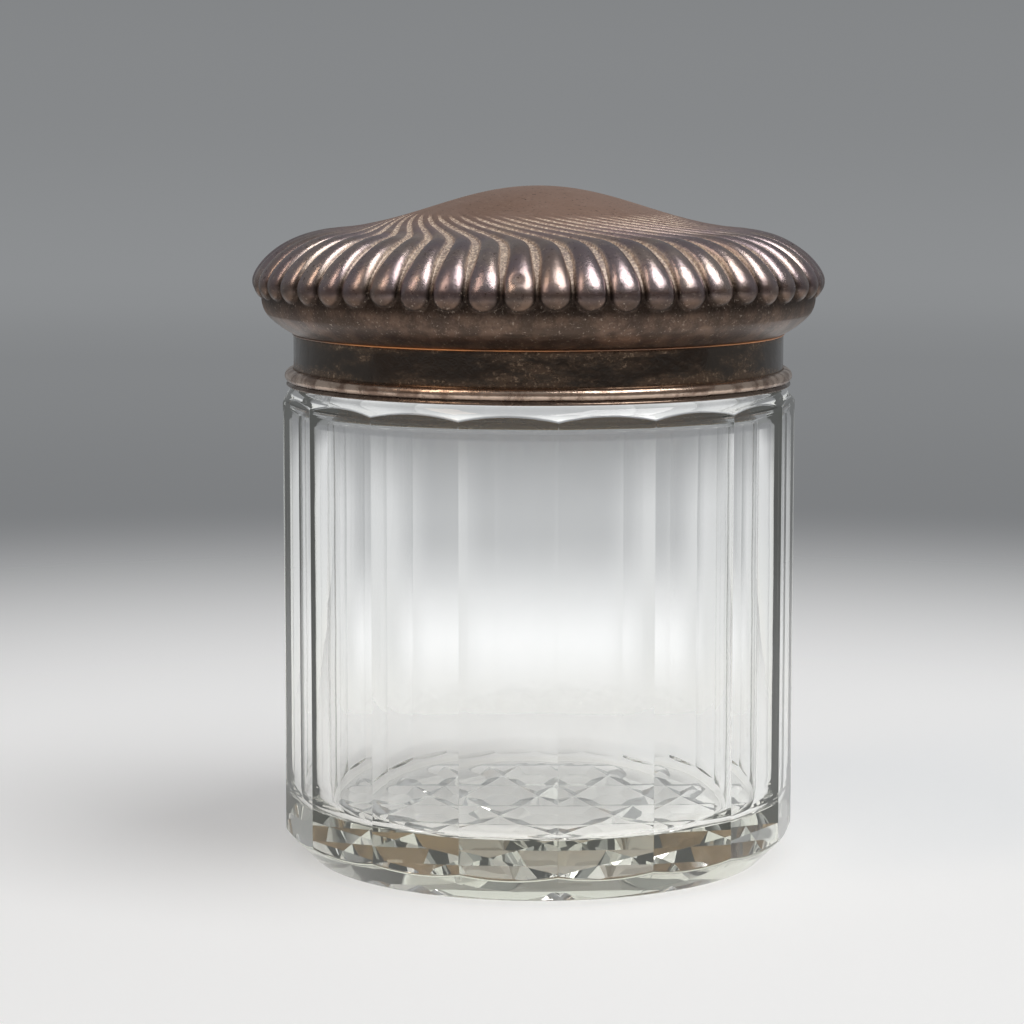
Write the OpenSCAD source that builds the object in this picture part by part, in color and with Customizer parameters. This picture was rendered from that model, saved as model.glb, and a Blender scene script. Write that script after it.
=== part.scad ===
// Powder jar with a pull-off lid. The jar is one piece of thick cut glass with flat panels, a
// bevelled foot and a button-cut underside. The lid is a pressed dome on a plain collar, with a
// half-round wire round the collar's foot that rests on the glass shoulder.
// Units are millimetres, +Z is up, and the origin is the centre of the underside.

/* [Glass jar] */
// Diameter across the panel corners
jar_d = 80; // [76:1:84]
// Number of flat panels round the jar
panels = 17; // [14:1:20]
// Angle of the first panel corner from the front
corner_turn = 3.8; // [0:0.1:20]
// Height of the shoulder that the lid rests on
shoulder_z = 74.2; // [70:0.2:76]
// Thickness of the side wall at a corner
wall = 5.2; // [4.4:0.1:6]
// Thickness of the floor
floor_t = 9; // [7:0.5:11]
// Height of the bevel round the foot
foot_h = 4.6; // [3:0.2:6]
// Height of the neck above the shoulder
neck_h = 11.8; // [8:0.2:13]
// Thickness of the neck
neck_t = 3.9; // [3:0.1:4.5]

/* [Cut underside] */
// Distance between neighbouring V grooves
groove_pitch = 16; // [12:0.5:18]
// Width of a groove at the underside
groove_w = 7.8; // [4:0.2:9]
// Depth of a groove
groove_depth = 3.4; // [1:0.1:4]
// Radius that the grooves stay inside
pattern_r = 33; // [28:0.5:34]
// Place of the centre of one button, sideways
button_x = 2.8; // [-8:0.1:8]
// Place of the same centre, from front to back
button_y = -12; // [-16:0.5:8]

/* [Lid] */
// Outside diameter of the collar
collar_d = 76.2; // [76:0.1:76.6]
// Thickness of the collar
collar_t = 0.5; // [0.4:0.05:0.55]
// Height of the collar
collar_h = 8; // [6:0.2:9]
// Widest diameter of the dome
dome_d = 88.8; // [86:0.2:90]
// Height of the dome above the collar
dome_h = 22.7; // [20:0.1:25]
// Thickness of the dome
dome_t = 0.55; // [0.5:0.05:0.8]
// Height of the half-round wire
bead_h = 2.6; // [2:0.1:3]
// How far the half-round wire stands out from the collar
bead_out = 1.4; // [1:0.1:1.6]

/* [Hidden] */
$fn = 96;
jar_r = jar_d / 2;
neck_r = collar_d / 2 - collar_t - 0.25;   // running gap of 0.25 inside the collar
neck_top = shoulder_z + neck_h;
bore_r = neck_r - neck_t;
cavity_r = jar_r - wall;
collar_r = collar_d / 2;
collar_top = shoulder_z + collar_h;
dome_r = dome_d / 2;
dome_top = collar_top + dome_h;
glass = [0.84, 0.88, 0.86, 0.4];
silver = [0.62, 0.55, 0.5];
worn_silver = [0.45, 0.38, 0.33];
coppery = [0.6, 0.47, 0.4];

// Point at t, from 0 to 1, on the cubic curve with the four control points p
function cubic(p, t) =
    pow(1 - t, 3) * p[0] + 3 * t * pow(1 - t, 2) * p[1] + 3 * t * t * (1 - t) * p[2] + pow(t, 3) * p[3];

// Points along a cubic curve, without its first point
function stretch(p, steps) = [for (i = [1:steps]) cubic(p, i / steps)];

// Points of an arc from angle a0 to a1 about centre c
function arc(c, r, a0, a1, steps) =
    [for (i = [0:steps]) let (a = a0 + (a1 - a0) * i / steps) c + r * [cos(a), sin(a)]];

// Outline of the dome, from the collar round the rim to the crown
rim_z = collar_top + 8.2;                  // height of the widest place
edge = [32.9, collar_top + 15.9];          // where the turned edge meets the crown
edge_way = [1, -0.08];                     // direction of the outline there, outwards
function dome_outline() = concat(
    [[collar_r, collar_top]],
    stretch([[collar_r, collar_top], [collar_r + 2.9, collar_top + 1.5],
             [dome_r, rim_z - 4], [dome_r, rim_z]], 8),
    stretch([[dome_r, rim_z], [dome_r, rim_z + 1.9], edge + 7.5 * edge_way, edge], 9),
    stretch([edge, edge - 13.6 * edge_way, [12, dome_top], [0, dome_top]], 10));

// Direction at point i that leads into the metal, at right angles to the outline
function inward(pts, i) =
    let (d = pts[min(i + 1, len(pts) - 1)] - pts[max(i - 1, 0)]) [-d.y, d.x] / norm(d);

// Second skin of the dome, one thickness inside the first, from the crown back to the collar
function dome_inside(pts) = concat(
    [[0, dome_top - dome_t]],
    [for (i = [len(pts) - 2:-1:1]) pts[i] + dome_t * inward(pts, i)],
    [[collar_r - collar_t, collar_top + dome_t], [collar_r - collar_t, collar_top]]);

// One V groove along X under the floor, with its mouth below the underside
module v_groove() {
    below = 1;
    half_w = groove_w / 2 * (1 + below / groove_depth);
    translate([-jar_d, 0, 0]) rotate([90, 0, 90]) linear_extrude(height = 2 * jar_d)
        polygon([[-half_w, -below], [half_w, -below], [0, groove_depth]]);
}

// Three sets of parallel grooves at 60 degrees, which leave six-sided buttons and small triangles
module button_cut() {
    rows = ceil((pattern_r + norm([button_x, button_y])) / groove_pitch);
    intersection() {
        translate([0, 0, -2]) cylinder(r = pattern_r, h = groove_depth + 4);
        translate([button_x, button_y, 0])
            for (turn = [0, 60, 120], row = [-rows:rows - 1])
                rotate(turn) translate([0, (row + 0.5) * groove_pitch, 0]) v_groove();
    }
}

module panelled_blank() {
    linear_extrude(height = neck_top)
        polygon([for (i = [0:panels - 1]) let (a = corner_turn - 90 + 360 * i / panels)
                 jar_r * [cos(a), sin(a)]]);
}

// Turned limits of the glass: foot bevel, shoulder bevel, seat for the lid and rounded neck
module turned_outside() {
    proud = 0.8;                           // clear of the panel corners, where the panels rule
    lip = 1.2;
    rotate_extrude()
        polygon(concat(
            [[0, 0], [jar_r - foot_h, 0], [jar_r + proud, foot_h + proud],
             [jar_r + proud, shoulder_z - 2.3 - proud * 1.1], [jar_r - 1.05, shoulder_z - 1.15],
             [jar_r - 1.7, shoulder_z], [neck_r, shoulder_z]],
            arc([neck_r - lip, neck_top - lip], lip, 0, 90, 6),
            [[0, neck_top]]));
}

// Powder space, with a rounded floor corner, and the narrower bore of the neck
module turned_inside() {
    corner = 3;
    mouth = 1;
    rotate_extrude()
        polygon(concat(
            [[0, floor_t]],
            arc([cavity_r - corner, floor_t + corner], corner, -90, 0, 8),
            [[cavity_r, shoulder_z - 4.6]],
            stretch([[cavity_r, shoulder_z - 4.6], [cavity_r, shoulder_z - 3],
                     [bore_r, shoulder_z - 2.4], [bore_r, shoulder_z - 0.8]], 6),
            arc([bore_r + mouth, neck_top - mouth], mouth, 180, 100, 5),
            [[bore_r + mouth, neck_top + 1], [0, neck_top + 1]]));
}

module jar_body() {
    color(glass)
    difference() {
        intersection() {
            panelled_blank();
            turned_outside();
        }
        turned_inside();
        button_cut();
    }
}

module lid_dome() {
    pts = dome_outline();
    color(silver) rotate_extrude() polygon(concat(pts, dome_inside(pts)));
}

module lid_collar() {
    color(worn_silver) rotate_extrude()
        translate([collar_r - collar_t, shoulder_z]) square([collar_t, collar_h]);
}

// Half-round wire with a flat inner face against the collar
module lid_bead() {
    color(coppery) rotate_extrude() polygon(
        [for (i = [0:12]) let (a = -90 + 15 * i)
         [collar_r + bead_out * cos(a), shoulder_z + bead_h / 2 * (1 + sin(a))]]);
}

jar_body();
lid_dome();
lid_collar();
lid_bead();
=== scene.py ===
import math
import random

import bpy
import numpy as np
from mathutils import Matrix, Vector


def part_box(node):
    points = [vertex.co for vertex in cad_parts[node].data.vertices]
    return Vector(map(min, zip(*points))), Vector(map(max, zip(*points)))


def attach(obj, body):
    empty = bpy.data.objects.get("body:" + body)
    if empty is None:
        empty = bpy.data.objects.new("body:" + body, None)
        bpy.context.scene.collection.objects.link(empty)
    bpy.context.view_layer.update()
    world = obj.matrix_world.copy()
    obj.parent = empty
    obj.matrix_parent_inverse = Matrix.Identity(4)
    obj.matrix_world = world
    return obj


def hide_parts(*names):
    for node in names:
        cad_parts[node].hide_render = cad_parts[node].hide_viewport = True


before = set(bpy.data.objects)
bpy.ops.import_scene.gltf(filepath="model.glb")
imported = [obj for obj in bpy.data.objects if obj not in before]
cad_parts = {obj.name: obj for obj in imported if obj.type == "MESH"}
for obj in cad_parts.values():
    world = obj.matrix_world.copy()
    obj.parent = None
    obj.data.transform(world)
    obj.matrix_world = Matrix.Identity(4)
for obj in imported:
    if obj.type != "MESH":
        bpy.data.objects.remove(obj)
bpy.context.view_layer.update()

# Shapes are worked out in millimetres and scaled once, when a mesh is made.
MM = 0.001


def box_mm(node):
    """Lowest and highest corner of a CAD node, in millimetres."""
    low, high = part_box(node)
    return np.array(low) / MM, np.array(high) / MM


# Sizes taken from the frame
SEAT_Z = box_mm("lid_collar")[0][2]
COLLAR_TOP = box_mm("lid_collar")[1][2]
COLLAR_R = box_mm("lid_collar")[1][0]
BEAD_R = box_mm("lid_bead")[1][0]
BEAD_TOP = box_mm("lid_bead")[1][2]
DOME_R = box_mm("lid_dome")[1][0]
DOME_TOP = box_mm("lid_dome")[1][2]
NECK_TOP = box_mm("jar_body")[1][2]

# Sizes of the glass, as in the CAD part
PANELS = 17
CORNER_R = 40.0
CORNER_TURN = math.radians(3.8)
FOOT_H = 4.6
WALL = 5.2
FLOOR_T = 9.0
COLLAR_T = 0.5
NECK_R = COLLAR_R - COLLAR_T - 0.25
NECK_T = 3.9
GROOVE_PITCH = 16.0
GROOVE_W = 7.8
GROOVE_DEPTH = 3.4
BUTTON_AT = (2.8, -12.0)
PATTERN_R = 33.0

# Thickness of the dome and count of its lobes
DOME_T = 0.55
LOBES = 52


# ---------------------------------------------------------------- mesh helpers

def new_mesh(name, verts, faces):
    """Object from millimetre points and faces, smooth shaded."""
    mesh = bpy.data.meshes.new(name)
    mesh.from_pydata((np.asarray(verts, float) * MM).tolist(), [], faces)
    mesh.validate()
    mesh.shade_smooth()
    obj = bpy.data.objects.new(name, mesh)
    bpy.context.scene.collection.objects.link(obj)
    return obj


def set_mask(obj, name, values):
    """Stores one number per point for the materials."""
    data = obj.data.attributes.new(name, "FLOAT", "POINT").data
    data.foreach_set("value", np.asarray(values, np.float32))


def quads(rows, cols, first=0, wrap_rows=False):
    """Faces of a grid whose columns close on themselves."""
    faces = []
    for i in range(rows if wrap_rows else rows - 1):
        a = first + i * cols
        b = first + ((i + 1) % rows) * cols
        for j in range(cols):
            k = (j + 1) % cols
            faces.append((a + j, a + k, b + k, b + j))
    return faces


def fan(centre, ring, cols, flip):
    """Triangles from a centre point to the ring of points that starts at index ring."""
    out = []
    for j in range(cols):
        a, b = ring + j, ring + (j + 1) % cols
        out.append((centre, b, a) if flip else (centre, a, b))
    return out


def closed_shell(name, rings):
    """Solid between a first and a last point on the axis, with rings of points between them."""
    rows, cols = rings.shape[:2]
    first = rings[0].mean(0) * [0, 0, 1]
    last = rings[-1].mean(0) * [0, 0, 1]
    verts = np.concatenate([rings.reshape(-1, 3), [first, last]])
    faces = quads(rows, cols)
    faces += fan(rows * cols, 0, cols, True)
    faces += fan(rows * cols + 1, (rows - 1) * cols, cols, False)
    return new_mesh(name, verts, faces)


def around(r, z, angle):
    """Point at radius r and height z; angle runs from the front, -Y, towards +X."""
    return np.stack([r * np.sin(angle), -r * np.cos(angle), z + 0 * angle], -1)


def cubic(p, n):
    """n points of a cubic curve after its first point."""
    p = np.asarray(p, float)
    t = np.linspace(0, 1, n + 1)[1:, None]
    u = 1 - t
    return u ** 3 * p[0] + 3 * t * u ** 2 * p[1] + 3 * t * t * u * p[2] + t ** 3 * p[3]


def smoothstep(low, high, x):
    """Smooth rise from 0 at low to 1 at high."""
    t = np.clip((x - low) / (high - low), 0, 1)
    return t * t * (3 - 2 * t)


def rounded_path(corners, arc_steps=4):
    """Path through corners (r, z, rounding, divisions of the straight stretch before it)."""
    pts = [np.array(c[:2], float) for c in corners]
    path = [pts[0]]
    for i in range(1, len(corners) - 1):
        rounding, divisions = corners[i][2:]
        to_last, to_next = pts[i - 1] - pts[i], pts[i + 1] - pts[i]
        start = pts[i] + to_last / np.linalg.norm(to_last) * rounding
        end = pts[i] + to_next / np.linalg.norm(to_next) * rounding
        behind = path[-1]
        path += [behind + (start - behind) * k / divisions for k in range(1, divisions)]
        for k in range(arc_steps + 1):
            t = k / arc_steps
            path.append((1 - t) ** 2 * start + 2 * t * (1 - t) * pts[i] + t * t * end)
    behind, divisions = path[-1], corners[-1][3]
    path += [behind + (pts[-1] - behind) * k / divisions for k in range(1, divisions + 1)]
    return np.array(path)


def apply_modifiers(obj):
    """Makes the modifiers' result the object's own mesh."""
    depsgraph = bpy.context.evaluated_depsgraph_get()
    done = bpy.data.meshes.new_from_object(obj.evaluated_get(depsgraph))
    old = obj.data
    obj.modifiers.clear()
    obj.data = done
    bpy.data.meshes.remove(old)


def sharpen(obj, degrees):
    """Flat shading for the cut faces: edges over the angle are sharp and large faces rule the normals."""
    obj.data.shade_smooth()
    obj.data.set_sharp_from_angle(angle=math.radians(degrees))
    weigh = obj.modifiers.new("face_normals", "WEIGHTED_NORMAL")
    weigh.keep_sharp = True
    weigh.weight = 100


# ---------------------------------------------------------------- glass jar

def panel_columns():
    """Plan points round the jar: flat panels that meet in small rounded corners."""
    rounding, steps, flat = 0.45, 4, 14
    half = math.pi / PANELS
    centre_r = CORNER_R - rounding / math.cos(half)
    corners = []
    for k in range(PANELS):
        a = CORNER_TURN + 2 * half * k
        arc = a + half * np.linspace(-1, 1, steps + 1)
        corners.append(around(centre_r, 0, np.array(a)) + around(rounding, 0, arc))
    plan = []
    for k in range(PANELS):
        plan += list(corners[k])
        start, end = corners[k][-1], corners[(k + 1) % PANELS][0]
        plan += [start + (end - start) * i / flat for i in range(1, flat)]
    return np.array(plan)[:, :2]


def jar_profile(panel_r):
    """Section of the glass where the panel is panel_r from the axis: outside, lip, powder space."""
    foot_r = CORNER_R - FOOT_H
    bevel_z = SEAT_Z - 2.3 + (CORNER_R - panel_r) * 1.1
    bore_r = NECK_R - NECK_T
    cavity_r = CORNER_R - WALL
    return rounded_path([
        (0.8, 0, 0, 0), (foot_r, 0, 0.5, 10), (panel_r, panel_r - foot_r, 0.35, 3),
        (panel_r, bevel_z, 0.25, 16), (CORNER_R - 1.05, SEAT_Z - 1.15, 0.5, 2),
        (CORNER_R - 1.7, SEAT_Z, 0.2, 2), (NECK_R, SEAT_Z, 0.3, 2), (NECK_R, NECK_TOP, 1.3, 6),
        (bore_r, NECK_TOP, 1.3, 2), (bore_r, SEAT_Z - 1.4, 1.4, 6), (cavity_r, SEAT_Z - 4.0, 1.6, 2),
        (cavity_r, FLOOR_T, 3.0, 20), (0.8, FLOOR_T, 0, 16)])


def groove_lines():
    """Cosine and sine of the direction, and distance from the axis, of every groove."""
    least_reach = 2.5
    rows = math.ceil((PATTERN_R - BUTTON_AT[1]) / GROOVE_PITCH)
    for turn in (0, 60, 120):
        c = math.cos(math.radians(turn))
        s = math.sin(math.radians(turn))
        for row in range(-rows, rows):
            off = (row + 0.5) * GROOVE_PITCH + BUTTON_AT[1] * c - BUTTON_AT[0] * s
            if abs(off) < PATTERN_R - least_reach:
                yield c, s, off


def groove_cutter():
    """V grooves in three directions under the floor, each running out short of the foot."""
    verts, faces = [], []
    below, full_run, steps = 0.4, 5.0, 6
    for c, s, off in groove_lines():
        half_l = math.sqrt(PATTERN_R ** 2 - off ** 2)
        run = min(full_run, half_l / 2)
        first = len(verts)
        start = -half_l + run * np.linspace(0, 1, steps)
        end = half_l - run * np.linspace(1, 0, steps)
        for x in np.concatenate([start, end]):
            past = max(0.0, abs(x) - (half_l - run)) / run
            depth = GROOVE_DEPTH * (1 - past ** 2)
            half_w = GROOVE_W / 2 * (depth + below) / GROOVE_DEPTH
            for y, z in ((off - half_w, -below), (off + half_w, -below), (off, depth)):
                verts.append((x * c - y * s, x * s + y * c, z))
        last = len(verts) - 3
        for a in range(first, last, 3):
            b = a + 3
            faces += [(a, a + 1, b + 1, b), (a + 1, a + 2, b + 2, b + 1), (a + 2, a, b, b + 2)]
        faces += [(first + 2, first + 1, first), (last, last + 1, last + 2)]
    return new_mesh("groove_cutter", verts, faces)


def glass_jar():
    """The whole glass: panels, foot, neck and powder space as one shell, with the grooves cut away."""
    plan = panel_columns()
    panel_r = np.linalg.norm(plan, axis=1)
    direction = plan / panel_r[:, None]
    sections = np.array([jar_profile(r) for r in panel_r])
    rings = np.empty((sections.shape[1], len(plan), 3))
    rings[..., :2] = sections[..., 0].T[..., None] * direction[None]
    rings[..., 2] = sections[..., 1].T
    jar = closed_shell("glass_jar", rings)
    cutter = groove_cutter()
    cut = jar.modifiers.new("grooves", "BOOLEAN")
    cut.operation = "DIFFERENCE"
    cut.solver = "EXACT"
    cut.use_self = True
    cut.object = cutter
    apply_modifiers(jar)
    bpy.data.objects.remove(cutter)
    sharpen(jar, 24)
    return jar


# ---------------------------------------------------------------- silver lid

def dome_envelope():
    """Outline over the crests of the lobes, from the collar round the rim to the crown."""
    fine = 400
    rim_z = COLLAR_TOP + 8.2
    edge_r, edge_z, edge_fall = 32.9, COLLAR_TOP + 15.9, 0.08
    foot = (COLLAR_R, COLLAR_TOP)
    rim = (DOME_R, rim_z)
    edge = (edge_r, edge_z)
    under = cubic([foot, (COLLAR_R + 2.9, COLLAR_TOP + 1.5), (DOME_R, rim_z - 4), rim], fine)
    over = cubic([rim, (DOME_R, rim_z + 1.9), (edge_r + 7.5, edge_z - 7.5 * edge_fall), edge], fine)
    crown = cubic([edge, (edge_r - 13.6, edge_z + 13.6 * edge_fall), (12, DOME_TOP), (0, DOME_TOP)], fine)
    return np.concatenate([[foot], under, over, crown])


def dome_rows():
    """Outline points and normals: close together where the lobes end and where they swirl."""
    plain_step, end_step, swirl_step = 0.5, 0.22, 0.42
    pts = dome_envelope()
    length = np.concatenate([[0], np.cumsum(np.linalg.norm(np.diff(pts, axis=0), axis=1))])
    r = pts[:, 0]
    z = pts[:, 1]
    step = np.full(len(pts), plain_step)
    step[(z > COLLAR_TOP + 5) & (z < COLLAR_TOP + 11) & (r > 43)] = end_step
    step[r < 30] = swirl_step
    count = np.concatenate([[0], np.cumsum(np.diff(length) / step[1:])])
    at = np.interp(np.linspace(0, count[-1], int(count[-1]) + 1), count, length)
    rows = np.stack([np.interp(at, length, r), np.interp(at, length, z)], -1)[:-1]
    along = np.gradient(rows, axis=0)
    normal = np.stack([along[:, 1], -along[:, 0]], -1)
    return rows, normal / np.linalg.norm(normal, axis=1)[:, None]


def swirl(r):
    """Turn of the lobes at radius r, in radians: none at the rim, clockwise from above further in."""
    start_r, soften, per_mm = 27.8, 3.0, 4.3
    still_r = 12.5
    turned = np.log1p(np.exp((start_r - np.maximum(r, still_r)) / soften))
    return -math.radians(per_mm * soften) * turned


def lobe_depth(r, z):
    """How far the grooves lie under the crests."""
    full = 1.35
    onset = smoothstep(COLLAR_TOP + 2.6, COLLAR_TOP + 7.4, z)
    fade = smoothstep(12.0, 42.0, r) ** 1.8
    return full * onset * fade


def dent(r, z, sideways):
    """Depth of the small knock in one lobe, at a distance sideways from the lobe's middle."""
    depth, half_h, half_w = 0.35, 0.75, 0.8
    away = ((z - COLLAR_TOP - 10.6) / half_h) ** 2 + (sideways / half_w) ** 2
    return depth * np.exp(-away) if r > 40 else 0.0


def lobe_columns():
    """Places across one lobe in parts of the pitch, close together towards the grooves."""
    half = [0.0, 0.13, 0.24, 0.33, 0.39, 0.425, 0.445, 0.457, 0.475]
    return np.array([-u for u in reversed(half[1:])] + half + [0.5])


def lobe_differences():
    """Sideways shift, height and level of the lower end of each lobe."""
    rng = random.Random(7)
    return [(rng.uniform(-0.006, 0.006), rng.uniform(0.97, 1.03), rng.uniform(-0.25, 0.25))
            for _ in range(LOBES)]


def lobe_height(across, half_lobe, r, z, end_z, tall):
    """Height over the grooves, from 0 to 1: round across the lobe and round at its lower end."""
    end_l = 2.4
    past = max(0.0, (end_z + end_l - z) / end_l)
    if past >= 1:
        return np.zeros(len(across))
    roundness = 1.0 - 0.5 * smoothstep(20.0, 38.0, r)
    h = np.clip(1 - (across / half_lobe) ** 2 - past ** 2, 0, None) ** roundness * tall
    return np.minimum(h, 1)


def lobed_rings():
    """Rings of points over the lobes, and how far down in a groove each point lies, from 0 to 1."""
    pitch = 2 * math.pi / LOBES
    first_groove = math.radians(-0.6)
    end_z = COLLAR_TOP + 5.6
    low_half, high_half = 0.455, 0.37
    dented, dent_aside = LOBES - 1, 0.006
    full_depth = 0.1
    even = lobe_columns()
    differences = lobe_differences()
    rows, normal = dome_rows()
    rings = np.empty((len(rows), LOBES * len(even), 3))
    groove = np.empty(rings.shape[:2])
    for i, ((r, z), n) in enumerate(zip(rows, normal)):
        depth = lobe_depth(r, z)
        narrow = smoothstep(COLLAR_TOP + 10.5, COLLAR_TOP + 15.0, z)
        half_lobe = low_half - (low_half - high_half) * narrow
        across = np.interp(even, [-0.5, -low_half, low_half, 0.5], [-0.5, -half_lobe, half_lobe, 0.5])
        for lobe, (shift, tall, low) in enumerate(differences):
            h = lobe_height(across, half_lobe, r, z, end_z + low, tall)
            angle = first_groove + pitch * (lobe + 0.5 + across + shift) + swirl(r)
            out = -depth * (1 - h)
            if lobe == dented:
                out = out - dent(r, z, (across * pitch + dent_aside) * r)
            cols = slice(lobe * len(even), (lobe + 1) * len(even))
            rings[i, cols] = around(r + n[0] * out, z + n[1] * out, angle)
            groove[i, cols] = (1 - h) * min(1.0, depth / full_depth)
    return rings, groove


def inner_skin(plan_angle):
    """Rings inside the metal, from the crown to the collar: the outline a little deeper, without lobes."""
    rows, normal = dome_rows()
    middle_r = 0.3
    outline = []
    for (r, z), n in list(zip(rows, normal))[::-4]:
        deep = DOME_T + lobe_depth(r, z)
        outline.append((max(r - n[0] * deep, middle_r), z - n[1] * deep))
    outline = [p for p in outline if p[1] > COLLAR_TOP + DOME_T]
    outline += [(COLLAR_R - COLLAR_T, COLLAR_TOP + DOME_T), (COLLAR_R - COLLAR_T, COLLAR_TOP)]
    return np.array([around(r, z, plan_angle) for r, z in outline])


def silver_dome():
    """Dome with lobes outside and a plain skin inside, closed at the collar."""
    rings, groove = lobed_rings()
    skin = inner_skin(np.arctan2(rings[0, :, 0], -rings[0, :, 1]))
    rows, cols = rings.shape[:2]
    tops = [(0, 0, DOME_TOP), (0, 0, DOME_TOP - DOME_T)]
    verts = np.concatenate([rings.reshape(-1, 3), skin.reshape(-1, 3), tops])
    top_out = len(verts) - 2
    top_in = len(verts) - 1
    first_in = rows * cols
    foot_in = first_in + (len(skin) - 1) * cols
    faces = quads(rows, cols)
    faces += quads(len(skin), cols, first_in)
    faces += fan(top_out, first_in - cols, cols, False)
    faces += fan(top_in, first_in, cols, True)
    for j in range(cols):
        k = (j + 1) % cols
        faces.append((foot_in + j, foot_in + k, k, j))
    dome = new_mesh("silver_dome", verts, faces)
    in_groove = np.zeros(len(verts))
    in_groove[:first_in] = groove.reshape(-1)
    set_mask(dome, "groove", in_groove)
    inside = np.zeros(len(verts))
    inside[first_in:] = 1
    inside[top_out] = 0
    set_mask(dome, "inside", inside)
    return dome


def turned_ring(name, section, ripple=0.0, seed=1):
    """Closed ring with the given section, with a slight hand-made ripple."""
    cols = 384
    waves = 6
    rng = random.Random(seed)
    drawn = [(rng.randint(2, 23), rng.uniform(0, 6.28), rng.uniform(0.3, 1)) for _ in range(waves)]
    angle = np.linspace(0, 2 * math.pi, cols, endpoint=False)
    sway = sum(height * np.sin(count * angle + start) for count, start, height in drawn) / waves * ripple
    rings = np.array([around(r + sway, z, angle) for r, z in section])
    return new_mesh(name, rings.reshape(-1, 3), quads(len(section), cols, wrap_rows=True))


def silver_collar():
    """Plain band with rows of points up its height."""
    heights = np.linspace(SEAT_Z, COLLAR_TOP, 15)
    section = [(COLLAR_R, z) for z in heights]
    section += [(COLLAR_R - COLLAR_T, z) for z in heights[::-1]]
    return turned_ring("silver_collar", section)


def foot_wire():
    """Half-round wire with a narrow step below it."""
    step_h = 0.35
    reach = BEAD_R - COLLAR_R
    mid = (SEAT_Z + step_h + BEAD_TOP) / 2
    half_h = (BEAD_TOP - SEAT_Z - step_h) / 2
    section = [(COLLAR_R, SEAT_Z), (COLLAR_R + 0.75 * reach, SEAT_Z)]
    section += [(COLLAR_R + 0.82 * reach, SEAT_Z + 0.12), (COLLAR_R + 0.8 * reach, SEAT_Z + 0.3)]
    for a in np.radians(np.linspace(-60, 90, 16)):
        section.append((COLLAR_R + reach * math.cos(a), mid + half_h * math.sin(a)))
    return turned_ring("foot_wire", section)


def solder_seam():
    """Thin run of solder where the dome meets the collar."""
    thick = 0.16
    centre_r = COLLAR_R + 0.02
    centre_z = COLLAR_TOP - 0.05
    section = [(centre_r + thick * math.cos(a), centre_z + thick * math.sin(a))
               for a in np.radians(np.arange(0, 360, 30))]
    return turned_ring("solder_seam", section, ripple=0.05, seed=5)


# ---------------------------------------------------------------- materials

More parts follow.
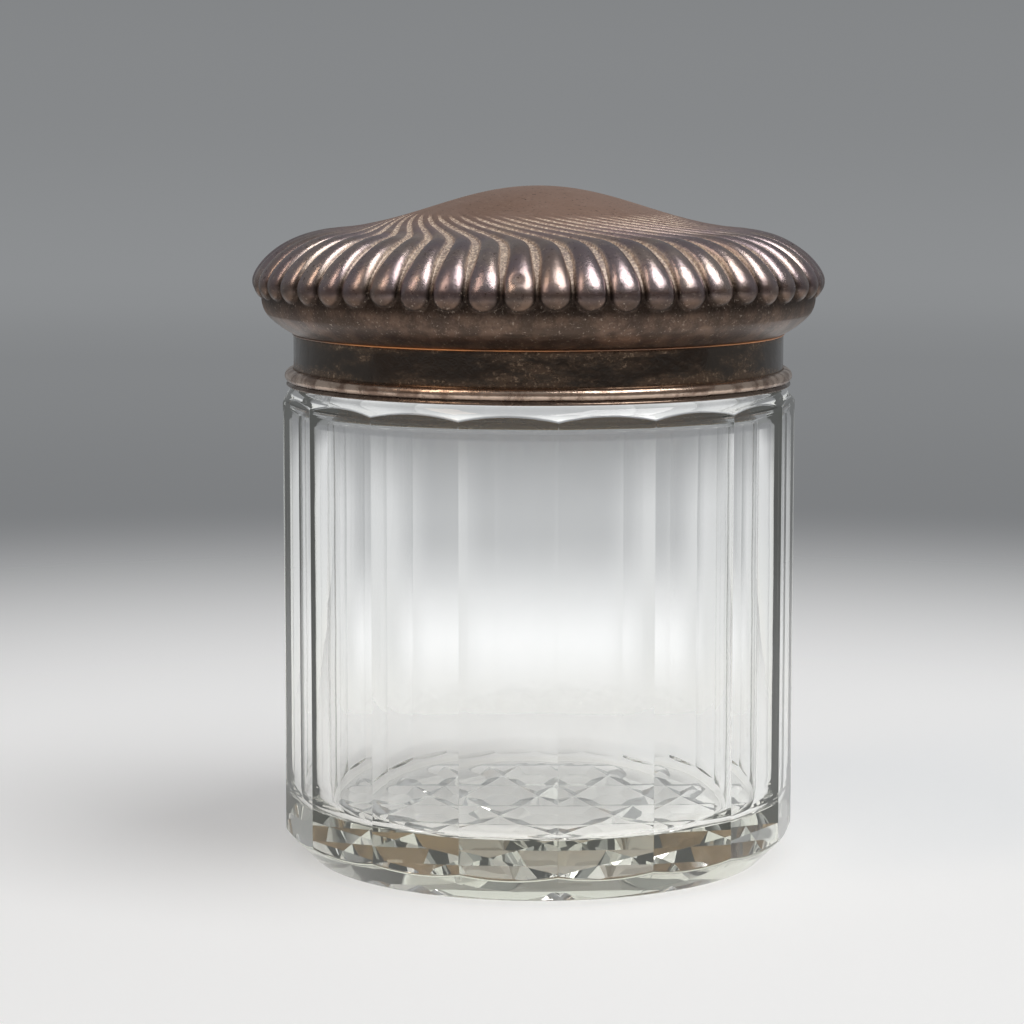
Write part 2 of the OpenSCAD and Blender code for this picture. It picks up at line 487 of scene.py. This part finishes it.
class Graph:
    """Short names for the shader nodes used below. Noise scales are per metre."""

    def __init__(self, name):
        self.material = bpy.data.materials.new(name)
        self.material.use_nodes = True
        self.tree = self.material.node_tree
        self.shader = self.tree.nodes["Principled BSDF"]
        self.where = self.tree.nodes.new("ShaderNodeTexCoord").outputs["Object"]

    def node(self, kind, **settings):
        made = self.tree.nodes.new(kind)
        for key, value in settings.items():
            setattr(made, key, value)
        return made

    def link(self, source, target):
        self.tree.links.new(source, target)

    def feed(self, socket, value):
        if isinstance(value, bpy.types.NodeSocket):
            self.link(value, socket)
        else:
            socket.default_value = value

    def noise(self, scale, detail=4.0, rough=0.55, stretch=None):
        """Cloudy values about 0.5, in patches about one over scale across."""
        made = self.node("ShaderNodeTexNoise")
        made.inputs["Scale"].default_value = scale
        made.inputs["Detail"].default_value = detail
        made.inputs["Roughness"].default_value = rough
        where = self.where
        if stretch:
            mapping = self.node("ShaderNodeMapping")
            mapping.inputs["Scale"].default_value = stretch
            self.link(self.where, mapping.inputs["Vector"])
            where = mapping.outputs["Vector"]
        self.link(where, made.inputs["Vector"])
        return made.outputs["Fac"]

    def attribute(self, name):
        return self.node("ShaderNodeAttribute", attribute_name=name).outputs["Fac"]

    def steps(self, value, low, high):
        """Smooth step of value, from 0 at low to 1 at high."""
        made = self.node("ShaderNodeMapRange", interpolation_type="SMOOTHSTEP")
        self.feed(made.inputs["Value"], value)
        made.inputs["From Min"].default_value = low
        made.inputs["From Max"].default_value = high
        return made.outputs["Result"]

    def math(self, operation, a, b=0.0):
        made = self.node("ShaderNodeMath", operation=operation)
        self.feed(made.inputs[0], a)
        self.feed(made.inputs[1], b)
        return made.outputs[0]

    def times(self, a, b):
        return self.math("MULTIPLY", a, b)

    def plus(self, a, b):
        return self.math("ADD", a, b)

    def less(self, a, b):
        return self.math("SUBTRACT", a, b)

    def most(self, a, b):
        return self.math("MAXIMUM", a, b)

    def mix(self, factor, a, b):
        """Colour a where factor is 0, colour b where it is 1."""
        made = self.node("ShaderNodeMix", data_type="RGBA")
        self.feed(made.inputs["Factor"], factor)
        self.feed(made.inputs[6], a)
        self.feed(made.inputs[7], b)
        return made.outputs[2]

    def axis(self, name):
        """One coordinate of the place, in metres."""
        split = self.node("ShaderNodeSeparateXYZ")
        self.link(self.where, split.inputs[0])
        return split.outputs[name]

    def above(self, low_mm, high_mm):
        """Smooth step of the height, from 0 at low_mm to 1 at high_mm."""
        return self.steps(self.axis("Z"), low_mm * MM, high_mm * MM)

    def distance(self, centre):
        made = self.node("ShaderNodeVectorMath", operation="DISTANCE")
        self.link(self.where, made.inputs[0])
        made.inputs[1].default_value = centre
        return made.outputs["Value"]

    def radius(self):
        """Distance from the jar's axis, in metres."""
        flat = self.node("ShaderNodeVectorMath", operation="MULTIPLY")
        self.link(self.where, flat.inputs[0])
        flat.inputs[1].default_value = (1, 1, 0)
        length = self.node("ShaderNodeVectorMath", operation="LENGTH")
        self.link(flat.outputs[0], length.inputs[0])
        return length.outputs["Value"]

    def bump(self, height, distance, after=None):
        """Normal with small bumps, distance in metres, on top of the bumps given in after."""
        made = self.node("ShaderNodeBump")
        made.inputs["Distance"].default_value = distance
        self.link(height, made.inputs["Height"])
        if after is not None:
            self.link(after, made.inputs["Normal"])
        return made.outputs["Normal"]


def rgb(r, g, b):
    return (r, g, b, 1.0)


def glass_material():
    """Clear glass with a faint green tint in its depth, faint ripples and smudges on the wall, and a faint
    painted glow.
    """
    g = Graph("clear_glass")
    bsdf = g.shader
    bsdf.inputs["Base Color"].default_value = rgb(1, 1, 1)
    bsdf.inputs["Transmission Weight"].default_value = 1.0
    bsdf.inputs["IOR"].default_value = 1.52
    # Painted glow: a faint even emission brightens the whole glass.
    bsdf.inputs["Emission Color"].default_value = rgb(0.97, 1.0, 0.98)
    bsdf.inputs["Emission Strength"].default_value = 0.012
    smudge = g.times(g.steps(g.noise(35, 3), 0.50, 0.75), g.above(14, 30))
    g.feed(bsdf.inputs["Roughness"], g.times(smudge, 0.006))
    g.feed(bsdf.inputs["Normal"], g.bump(g.noise(60, 2, 0.4), 0.00006))
    absorb = g.node("ShaderNodeVolumeAbsorption")
    absorb.inputs["Color"].default_value = rgb(0.84, 0.85, 0.74)
    absorb.inputs["Density"].default_value = 19.0
    g.link(absorb.outputs[0], g.tree.nodes["Material Output"].inputs["Volume"])
    return g.material


def dome_metal(g, hollow, low, band, blotch):
    """Bare metal: brown crown, purplish lobes, a dark band under them that is tarnish with painted shade
    over the lobes' lower parts, and painted shade in the gaps between their ends.
    """
    groove = g.attribute("groove")
    crown = g.above(DOME_TOP - 7.0, DOME_TOP - 3.5)
    tint = g.steps(g.noise(130, 3), 0.38, 0.58)
    lobe = g.mix(blotch, rgb(0.53, 0.43, 0.39), rgb(0.40, 0.305, 0.275))
    lobe = g.mix(g.times(tint, 0.65), lobe, rgb(0.355, 0.285, 0.325))
    top = g.mix(blotch, rgb(0.62, 0.41, 0.32), rgb(0.51, 0.33, 0.25))
    mottle = g.steps(g.noise(300, 5), 0.4, 0.65)
    # Dark tarnish colour: tarnish on the plain band and patina in the lower grooves, with painted shade
    # where the band mask runs over the lobes' downward-facing lower parts.
    tarnish = g.mix(mottle, rgb(0.078, 0.053, 0.039), rgb(0.170, 0.110, 0.078))
    tarnish_and_shade = g.most(g.times(band, 0.96), g.times(hollow, g.times(low, 0.9)))
    metal = g.mix(tarnish_and_shade, g.mix(crown, lobe, top), tarnish)
    # Painted shade: near-black in the grooves and along their edges between the lobes' lower ends.
    between = g.times(low, g.above(COLLAR_TOP + 4.6, COLLAR_TOP + 6.0))
    brink = g.times(g.steps(groove, 0.3, 0.6), g.steps(groove, 1.0, 0.85))
    gap_shade = g.times(g.times(g.most(hollow, brink), between), 0.75)
    metal = g.mix(gap_shade, metal, rgb(0.030, 0.021, 0.017))
    pits = g.times(g.steps(g.noise(1700, 3, 0.7), 0.60, 0.68), 0.7)
    return g.mix(pits, metal, rgb(0.12, 0.08, 0.07))


def dome_dust(g, hollow, low, specks):
    """Share of dust: caked in the grooves above the lobes' ends, stray specks elsewhere."""
    caked = g.times(hollow, g.less(1.0, g.times(low, 0.97)))
    caked = g.times(caked, g.plus(g.times(specks, 0.6), 0.35))
    stray = g.times(g.steps(g.noise(2100, 3, 0.7), 0.60, 0.68), 0.35)
    return g.most(caked, stray)


def dome_material():
    """Worn silver outside, with dust in the grooves, and cleaner yellowish metal inside."""
    g = Graph("dome_silver")
    bsdf = g.shader
    inside = g.attribute("inside")
    hollow = g.steps(g.attribute("groove"), 0.34, 0.78)
    low = g.above(COLLAR_TOP + 13.0, COLLAR_TOP + 8.0)
    # Band mask: tarnish on the plain band, and painted shade over the lobes' lower, downward-facing parts.
    band = g.above(COLLAR_TOP + 10.0, COLLAR_TOP + 6.6)
    blotch = g.steps(g.noise(90, 5), 0.4, 0.65)
    specks = g.steps(g.noise(2400, 3, 0.7), 0.42, 0.60)
    dust = dome_dust(g, hollow, low, specks)
    dust_colour = g.mix(specks, rgb(0.50, 0.39, 0.31), rgb(0.88, 0.73, 0.59))
    outside = g.mix(dust, dome_metal(g, hollow, low, band, blotch), dust_colour)
    lining = g.mix(blotch, rgb(0.50, 0.36, 0.22), rgb(0.34, 0.24, 0.14))
    g.feed(bsdf.inputs["Base Color"], g.mix(inside, outside, lining))
    dull = g.most(g.times(dust, g.less(0.9, inside)), 0.0)
    g.feed(bsdf.inputs["Metallic"], g.less(1.0, dull))
    smooth_part = g.most(g.above(DOME_TOP - 7.0, DOME_TOP - 3.5), g.steps(g.radius(), 0.037, 0.030))
    rough = g.plus(0.245, g.times(hollow, 0.2))
    rough = g.plus(rough, g.times(blotch, 0.05))
    rough = g.plus(rough, g.times(smooth_part, 0.19))
    g.feed(bsdf.inputs["Roughness"], g.plus(rough, g.times(band, 0.06)))
    coarse = g.bump(g.noise(220, 4), 0.00012)
    g.feed(bsdf.inputs["Normal"], g.bump(g.noise(1800, 5, 0.65), 0.00004, after=coarse))
    return g.material


def collar_material():
    """Dark polished collar with brown tarnish in flecks outside, and a cleaner inside."""
    g = Graph("collar_silver")
    bsdf = g.shader
    inside = g.steps(g.radius(), (COLLAR_R - 0.2) * MM, (COLLAR_R - 0.3) * MM)
    near_foot = g.above(SEAT_Z + 4.4, SEAT_Z + 2.8)
    near_top = g.above(COLLAR_TOP - 1.6, COLLAR_TOP - 0.3)
    edges = g.times(g.most(near_foot, near_top), 0.08)
    patch = g.steps(g.plus(g.noise(60, 10, 0.7, (1, 1, 2.6)), edges), 0.46, 0.62)
    flecks = g.times(g.steps(g.noise(2200, 4, 0.7), 0.55, 0.64), patch)
    metal = g.mix(patch, rgb(0.115, 0.095, 0.080), rgb(0.20, 0.140, 0.10))
    metal = g.mix(flecks, metal, rgb(0.50, 0.36, 0.25))
    lining = g.mix(patch, rgb(0.48, 0.35, 0.22), rgb(0.32, 0.23, 0.14))
    g.feed(bsdf.inputs["Base Color"], g.mix(inside, metal, lining))
    g.feed(bsdf.inputs["Metallic"], g.less(1.0, g.times(flecks, 0.5)))
    g.feed(bsdf.inputs["Roughness"], g.plus(0.17, g.times(patch, 0.15)))
    g.feed(bsdf.inputs["Normal"], g.bump(g.noise(300, 4), 0.0001))
    return g.material


def bead_material():
    """Coppery wire with brown patches and painted shade along its foot."""
    g = Graph("bead_silver")
    bsdf = g.shader
    patch = g.steps(g.noise(260, 6, 0.6), 0.42, 0.62)
    flecks = g.steps(g.noise(1900, 4, 0.7), 0.55, 0.66)
    metal = g.mix(patch, rgb(0.80, 0.62, 0.50), rgb(0.32, 0.22, 0.17))
    # Painted shade: the wire darkens towards its foot, where it meets the seat.
    foot = g.above(SEAT_Z + 1.5, SEAT_Z + 0.7)
    metal = g.mix(g.times(foot, 0.85), metal, rgb(0.13, 0.09, 0.07))
    g.feed(bsdf.inputs["Base Color"], g.mix(g.times(flecks, 0.4), metal, rgb(0.62, 0.45, 0.32)))
    bsdf.inputs["Metallic"].default_value = 1.0
    g.feed(bsdf.inputs["Roughness"], g.plus(0.20, g.times(patch, 0.12)))
    g.feed(bsdf.inputs["Normal"], g.bump(g.noise(500, 5), 0.0001))
    return g.material


def solder_material():
    """Orange line of solder, worn to brown in places."""
    g = Graph("solder")
    bsdf = g.shader
    worn = g.steps(g.noise(38, 3), 0.44, 0.62)
    fresh = g.mix(g.noise(400, 4), rgb(0.95, 0.42, 0.16), rgb(0.60, 0.26, 0.12))
    g.feed(bsdf.inputs["Base Color"], g.mix(worn, fresh, rgb(0.22, 0.13, 0.09)))
    bsdf.inputs["Metallic"].default_value = 1.0
    bsdf.inputs["Roughness"].default_value = 0.3
    g.feed(bsdf.inputs["Normal"], g.bump(g.noise(1500, 3), 0.00005))
    return g.material


def floor_material():
    """Pale lit sheet with a painted shadow under and beside the glass, that fades into the grey air away
    from the jar.
    """
    g = Graph("pale_floor")
    bsdf = g.shader
    # Painted shadow: under the jar, set a little back and to the left, and in a ring round its foot,
    # dimming the base colour and the glow.
    contact_shadow = g.times(g.steps(g.radius(), 0.0425, 0.0355), 0.35)
    under = g.most(g.steps(g.distance((-0.004, 0.010, 0.0)), 0.036, 0.022), contact_shadow)
    g.feed(bsdf.inputs["Base Color"], g.mix(under, rgb(0.78, 0.79, 0.80), rgb(0.50, 0.505, 0.50)))
    bsdf.inputs["Roughness"].default_value = 0.7
    bsdf.inputs["Specular IOR Level"].default_value = 0.2
    bsdf.inputs["Emission Color"].default_value = rgb(0.97, 0.98, 1.0)
    g.feed(bsdf.inputs["Emission Strength"], g.less(0.27, g.times(under, 0.10)))
    g.feed(bsdf.inputs["Alpha"], g.steps(g.radius(), 0.46, 0.14))
    return g.material


# ---------------------------------------------------------------- studio

# Brightness that the cloths and the card fade into
FAR_GREY = rgb(0.24, 0.245, 0.25)


def area_light(name, azimuth, elevation, distance, size, power, colour):
    """Softbox that faces the jar's shoulder, at an azimuth (from the front towards +X) and an elevation."""
    light = bpy.data.lights.new(name, "AREA")
    light.shape = "RECTANGLE"
    light.size, light.size_y = size
    light.energy = power
    light.color = colour
    obj = bpy.data.objects.new(name, light)
    a, e = math.radians(azimuth), math.radians(elevation)
    toward = np.array([math.cos(e) * math.sin(a), -math.cos(e) * math.cos(a), math.sin(e)])
    obj.location = np.array([0, 0, 0.07]) + toward * distance
    obj.rotation_euler = (math.pi / 2 - e, 0, a)
    obj.visible_camera = False
    bpy.context.scene.collection.objects.link(obj)


def table_sheet():
    """Round sheet a little below the foot of the jar."""
    radius, z, steps = 700.0, -0.03, 96
    a = np.linspace(0, 2 * math.pi, steps, endpoint=False)
    verts = np.concatenate([around(radius, z, a), [(0, 0, z)]])
    floor = new_mesh("floor", verts, fan(steps, 0, steps, False))
    floor.data.materials.append(floor_material())


def screen(name, radius, low_z, high_z, cloth):
    """Upright cloth round the front of the set that casts no light or shadow of its own."""
    half_turn, points = 80, 33
    angle = np.radians(np.linspace(-half_turn, half_turn, points))
    verts = np.concatenate([around(radius, low_z, angle), around(radius, high_z, angle)])
    made = new_mesh(name, verts, [(i, i + 1, points + i + 1, points + i) for i in range(points - 1)])
    made.data.materials.append(cloth)
    made.visible_camera = False
    made.visible_diffuse = False
    made.visible_shadow = False
    return made


def flag_material():
    """Grey-brown cloth with a fine weave."""
    g = Graph("flag_cloth")
    weave = g.steps(g.noise(800, 2), 0.46, 0.54)
    g.feed(g.shader.inputs["Base Color"], g.mix(weave, rgb(0.30, 0.26, 0.24), rgb(0.36, 0.31, 0.28)))
    g.shader.inputs["Roughness"].default_value = 1.0
    return g.material


def glow_material(name):
    """Start of a material that only glows."""
    g = Graph(name)
    g.shader.inputs["Base Color"].default_value = rgb(0, 0, 0)
    g.shader.inputs["Emission Strength"].default_value = 1.0
    return g


def room_material():
    """Glowing dim tan, dark and grey patches, painted light for the room seen through the glass, that fade
    into the grey air at the sides and at the foot.
    """
    g = glow_material("room_glow")
    g.shader.inputs["Specular IOR Level"].default_value = 0.0
    patch = g.mix(g.steps(g.noise(13, 2), 0.46, 0.54), rgb(0.025, 0.022, 0.019), rgb(0.27, 0.19, 0.125))
    patch = g.mix(g.steps(g.noise(21, 1), 0.54, 0.60), patch, rgb(0.36, 0.37, 0.33))
    within = g.times(g.steps(g.axis("Y"), -0.08, -0.22), g.above(0, 40))
    g.feed(g.shader.inputs["Emission Color"], g.mix(within, FAR_GREY, patch))
    return g.material


def screens():
    """One cloth is seen only in the lid; the other, a glowing sheet, only through the glass."""
    screen("lid_flag", 420.0, 40.0, 330.0, flag_material()).visible_transmission = False
    screen("dark_room", 460.0, 0.0, 600.0, room_material()).visible_glossy = False


def card_material():
    """Pale at the foot, grey above, and fading into the grey air at both sides."""
    g = glow_material("card_glow")
    aside = g.math("ABSOLUTE", g.axis("X"))
    off_middle = g.steps(aside, 0.012, 0.060)
    middle = g.mix(off_middle, rgb(0.48, 0.49, 0.51), rgb(0.70, 0.71, 0.73))
    lower = g.mix(off_middle, rgb(0.97, 0.98, 1.0), rgb(0.74, 0.75, 0.76))
    glow = g.mix(g.above(60, 38), rgb(0.22, 0.225, 0.24), middle)
    glow = g.mix(g.above(36, 12), glow, lower)
    glow = g.mix(g.above(16, 1), glow, rgb(0.77, 0.77, 0.76))
    glow = g.mix(g.steps(aside, 0.26, 0.56), glow, FAR_GREY)
    g.feed(g.shader.inputs["Emission Color"], glow)
    return g.material


def light_card():
    """Lit card behind the jar that is seen only through the glass."""
    half_w, back, top = 600.0, 120.0, 110.0
    verts = [(-half_w, back, 0), (half_w, back, 0), (half_w, back, top), (-half_w, back, top)]
    card = new_mesh("light_card", verts, [(0, 1, 2, 3)])
    card.data.materials.append(card_material())
    card.visible_camera = False
    card.visible_diffuse = False
    card.visible_glossy = False
    card.visible_shadow = False


def studio_air():
    """Grey surroundings with a soft lighter ring a little below the horizon."""
    world = bpy.data.worlds.new("studio_air")
    bpy.context.scene.world = world
    world.use_nodes = True
    nodes, links = world.node_tree.nodes, world.node_tree.links
    split = nodes.new("ShaderNodeSeparateXYZ")
    links.new(nodes.new("ShaderNodeTexCoord").outputs["Generated"], split.inputs[0])
    ramp = nodes.new("ShaderNodeValToRGB")
    ramp.color_ramp.interpolation = "EASE"
    stops = [(0.44, 0.212), (0.46, 0.235), (0.472, 0.275), (0.50, 0.245), (0.53, 0.225)]
    while len(ramp.color_ramp.elements) < len(stops):
        ramp.color_ramp.elements.new(0.5)
    for element, (at, grey) in zip(ramp.color_ramp.elements, stops):
        element.position = at
        element.color = rgb(grey * 0.97, grey, grey * 1.03)
    half = nodes.new("ShaderNodeMapRange")
    half.inputs["From Min"].default_value = -1.0
    links.new(split.outputs["Z"], half.inputs["Value"])
    links.new(half.outputs["Result"], ramp.inputs["Fac"])
    links.new(ramp.outputs["Color"], nodes["Background"].inputs["Color"])


def studio():
    """Table, cloths, card, grey surroundings and two softboxes."""
    table_sheet()
    screens()
    light_card()
    studio_air()
    area_light("softbox_right", 56, 62, 0.9, (0.50, 0.60), 4.7, (1.0, 0.985, 0.96))
    area_light("softbox_left", -57, 48, 1.0, (0.20, 0.6), 1.3, (1.0, 0.80, 0.62))


def camera():
    """Long lens half a metre away, a little above the jar and tilted slightly down."""
    data = bpy.data.cameras.new("camera")
    data.sensor_width = 36
    data.lens = 119.13
    obj = bpy.data.objects.new("camera", data)
    obj.location = (-0.0041, -0.5276, 0.1197)
    obj.rotation_euler = (math.radians(82.89), 0, 0)
    bpy.context.scene.collection.objects.link(obj)
    bpy.context.scene.camera = obj


# ---------------------------------------------------------------- assembly

def place(obj, material, body, node=None):
    """Gives a piece its material and slot, ties it to its body and, where it has one, hides the CAD node it
    replaces.
    """
    obj.data.materials.clear()
    obj.data.materials.append(material)
    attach(obj, body)
    if node:
        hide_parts(node)


camera()
jar = glass_jar()
jar.visible_shadow = False
place(jar, glass_material(), "jar", "jar_body")
place(silver_dome(), dome_material(), "lid", "lid_dome")
place(silver_collar(), collar_material(), "lid", "lid_collar")
place(foot_wire(), bead_material(), "lid", "lid_bead")
place(solder_seam(), solder_material(), "lid")
studio()
bpy.context.scene.view_settings.view_transform = "Standard"
